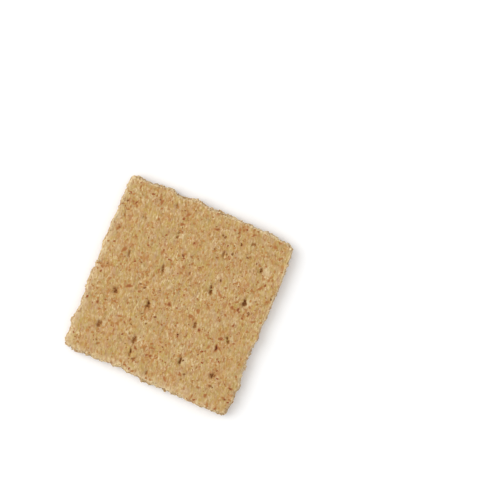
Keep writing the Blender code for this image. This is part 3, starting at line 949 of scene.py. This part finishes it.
# The bran
# Flakes of wheat bran, the husk that whole wheat flour keeps. They are thin plates of every
# size up to a millimetre, rolled flat into the dough, so that they lie in its surface.
BRAN_DARK = (0.160, 0.070, 0.022)
BRAN_RED = (0.270, 0.066, 0.022)
BRAN_RUSSET = (0.340, 0.135, 0.040)
BRAN_GOLDEN = (0.430, 0.205, 0.062)
BRAN_TONES = (  # how the flakes' tones are shared out, from the darkest on
    (0.02, BRAN_DARK), (0.05, BRAN_RED), (0.10, BRAN_RED), (0.22, BRAN_RUSSET), (0.90, BRAN_GOLDEN),
)
SQUARE_METRE = 1.0e4  # in square centimetres
DRIFT_SIZE = 5.0 * MM  # of the stretches where more or fewer pieces lie
DRIFT_DENSITIES = (0.4, 1.6)  # the thinnest and the thickest, as shares of the mean
SMALL_INSETS = (0.8 * MM, 0.2 * MM)  # where the pieces turn smaller towards the side
OUTLINE_SIZE = 0.35 * MM  # of the nicks that make the pieces ragged


def scatter_tree():
    """Scatters small ragged pieces over a mesh, each with its own size, turn and tone."""
    tree, given = new_tree("scattered_pieces", (
        ("Per square centimetre", "Float"),
        ("Reach from side", "Float"),
        ("Smallest", "Vector"),
        ("Largest", "Vector"),
        ("Smaller at side", "Float"),
        ("Tilt", "Float"),
        ("Raggedness", "Float"),
        ("Thin", "Bool"),
        ("Seed", "Int"),
        ("Material", "Material"),
    ))
    start = Wire(tree)

    def random_number(low, high, lot):
        sockets = {2: low, 3: high, "Seed": given["Seed"] + lot}
        return start.node("FunctionNodeRandomValue", None, sockets, 1)

    inset = start.stored("inset")
    in_hole = start.stored("in_hole")
    in_reach = inset.maths("LESS_THAN", inset, given["Reach from side"])
    drift = start.node("GeometryNodeInputPosition").noise(DRIFT_SIZE, 2.0, 0.5).step(0.38, 0.62)
    thinnest, thickest = DRIFT_DENSITIES
    density = given["Per square centimetre"] * SQUARE_METRE * in_reach
    density = density * (1.0 - in_hole) * (thinnest + (thickest - thinnest) * drift)
    points = start.node("GeometryNodeDistributePointsOnFaces", None, {
        "Mesh": given["Geometry"], "Density": density, "Seed": given["Seed"]})
    facing = points.beside("Rotation")

    # A plate or a lump, as large as 1 each way before it gets its size
    plate = start.node("GeometryNodeMeshCylinder", None, {
        "Vertices": 9, "Radius": 0.5, "Depth": 1.0})
    lump = start.node("GeometryNodeMeshIcoSphere", None, {"Radius": 0.5, "Subdivisions": 2})
    shape = start.node("GeometryNodeSwitch", {"input_type": "GEOMETRY"}, {
        "Switch": given["Thin"], "False": lump, "True": plate})

    share = random_number(0.0, 1.0, 1)
    smallness = 1.0 - share * share
    size = start.node("ShaderNodeMix", {"data_type": "VECTOR"}, {
        0: smallness, 4: given["Largest"], 5: given["Smallest"]}, 1)
    size = size.scaled(1.0 - given["Smaller at side"] * inset.step(*SMALL_INSETS))
    lean = start.node("ShaderNodeCombineXYZ", None, {
        0: random_number(-1.0, 1.0, 2) * given["Tilt"],
        1: random_number(-1.0, 1.0, 3) * given["Tilt"],
        2: random_number(0.0, 2.0 * math.pi, 4)})
    laid = start.node("FunctionNodeRotateRotation", {"rotation_space": "LOCAL"}, {
        "Rotation": facing, "Rotate By": lean})
    instances = start.node("GeometryNodeInstanceOnPoints", None, {
        "Points": points, "Instance": shape, "Rotation": laid, "Scale": size})
    toned = start.node("GeometryNodeStoreNamedAttribute", {"domain": "INSTANCE"}, {
        "Geometry": instances, "Name": "tone", "Value": random_number(0.0, 1.0, 5)})
    real = start.node("GeometryNodeRealizeInstances", None, {"Geometry": toned})

    shake = start.node("GeometryNodeInputPosition").shaking(OUTLINE_SIZE, 1.0, 0.5)
    ragged = start.node("GeometryNodeSetPosition", None, {
        "Geometry": real, "Offset": shake.scaled(given["Raggedness"])})
    close_tree(kept_on_floor(ragged), given["Material"])
    return tree


def bran_material():
    """Dry husk, from dark to golden brown, each flake in its own tone."""
    material, shader, start = new_material("wheat_bran")
    place = start.node("ShaderNodeTexCoord", None, None, "Object")
    tone = start.attribute("tone")
    mottle = place.noise(0.5 * MM, 2.0, 0.6)
    tones = tone.node("ShaderNodeValToRGB", {"stops": BRAN_TONES}, {"Fac": tone})
    colour = mixed(mottle.step(0.45, 0.72) * 0.55, tones, ORANGE)
    start.tree.links.new(colour.socket, shader.inputs["Base Color"])
    shader.inputs["Roughness"].default_value = 0.8
    shader.inputs["Specular IOR Level"].default_value = 0.2
    return material


scatter = scatter_tree()
bran = grown("bran_flakes", cracker.data.copy(), scatter, {
    "Per square centimetre": 26.0,
    "Reach from side": 1.0,
    "Smallest": (0.38 * MM, 0.30 * MM, 0.09 * MM),
    "Largest": (1.25 * MM, 0.80 * MM, 0.15 * MM),
    "Smaller at side": 0.4,
    "Tilt": 0.16,
    "Raggedness": 0.30 * MM,
    "Thin": True,
    "Seed": 4,
    "Material": bran_material(),
})
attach(bran, "root")

# The crumbs at the side
# The sheet was cut and broken into squares, so the sides are torn. Crumbs of the pale dry
# dough still hang on them, from a quarter of a millimetre to nearly a millimetre across.
crumbs = grown("side_crumbs", cracker.data.copy(), scatter, {
    "Per square centimetre": 95.0,
    "Reach from side": 0.30 * MM,
    "Smallest": (0.30 * MM, 0.28 * MM, 0.24 * MM),
    "Largest": (0.95 * MM, 0.80 * MM, 0.62 * MM),
    "Smaller at side": 0.0,
    "Tilt": 0.7,
    "Raggedness": 0.30 * MM,
    "Thin": False,
    "Seed": 11,
    "Material": dough,
})
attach(crumbs, "root")

# The floor
# A plain pale sheet that the cracker lies on, far larger than any view of it.
FLOOR_HALF = 4.0  # metres
FLOOR_COLOUR = (0.93, 0.93, 0.93)

floor_mesh = bpy.data.meshes.new("floor")
ways = ((-1, -1), (1, -1), (1, 1), (-1, 1))
floor_corners = [(x * FLOOR_HALF, y * FLOOR_HALF, 0.0) for x, y in ways]
floor_mesh.from_pydata(floor_corners, [], [(0, 1, 2, 3)])
floor_material, floor_shader, _ = new_material("pale_floor")
floor_shader.inputs["Base Color"].default_value = (*FLOOR_COLOUR, 1.0)
floor_shader.inputs["Roughness"].default_value = 0.9
floor_mesh.materials.append(floor_material)
floor = bpy.data.objects.new("floor", floor_mesh)
bpy.context.scene.collection.objects.link(floor)

# The camera
# It looks straight down from well above the middle of the frame, so that the cracker lies at
# the lower left of the frame, turned as it is in the photograph.
PIXEL = 0.3483 * MM  # on the cracker's top
FRAME_PIXELS = 480
CRACKER_PIXEL = (179.5, 294.8)  # where the cracker's middle lies, from the top left corner
TURN = math.radians(23.58)
LENS = 400.0  # mm
SENSOR = 36.0  # mm

right = Vector((math.cos(TURN), math.sin(TURN), 0.0))
up = Vector((-math.sin(TURN), math.cos(TURN), 0.0))
offset = right * (FRAME_PIXELS / 2 - CRACKER_PIXEL[0]) + up * (CRACKER_PIXEL[1] - FRAME_PIXELS / 2)
camera_height = FRAME_PIXELS * PIXEL * LENS / SENSOR + THICKNESS
camera_data = bpy.data.cameras.new("camera")
camera_data.lens = LENS
camera_data.sensor_width = SENSOR
camera = bpy.data.objects.new("camera", camera_data)
camera.location = offset * PIXEL + Vector((0.0, 0.0, camera_height))
camera.rotation_euler = (0.0, 0.0, TURN)
bpy.context.scene.collection.objects.link(camera)
bpy.context.scene.camera = camera

# The light
# A large soft lamp at the left of the frame and a bright white room.
LAMP_SIZE = 0.9  # metres across
LAMP_DISTANCE = 1.0  # metres
LAMP_POWER = 5.4  # watts
LAMP_RISE = math.radians(48.0)
LAMP_UP_FRAME = 0.36  # how far up the frame it stands for each step to the left
ROOM_STRENGTH = 0.88

lamp_data = bpy.data.lights.new("soft_lamp", "AREA")
lamp_data.shape = "DISK"
lamp_data.size = LAMP_SIZE
lamp_data.energy = LAMP_POWER
lamp = bpy.data.objects.new("soft_lamp", lamp_data)
sideways = (up * LAMP_UP_FRAME - right).normalized()
towards_lamp = sideways * math.cos(LAMP_RISE) + Vector((0.0, 0.0, math.sin(LAMP_RISE)))
lamp.location = towards_lamp * LAMP_DISTANCE
lamp.rotation_euler = towards_lamp.to_track_quat("Z", "Y").to_euler()
bpy.context.scene.collection.objects.link(lamp)

room = bpy.data.worlds.new("white_room")
room.use_nodes = True
room.node_tree.nodes["Background"].inputs["Color"].default_value = (1.0, 1.0, 1.0, 1.0)
room.node_tree.nodes["Background"].inputs["Strength"].default_value = ROOM_STRENGTH
bpy.context.scene.world = room
bpy.context.scene.view_settings.view_transform = "Standard"
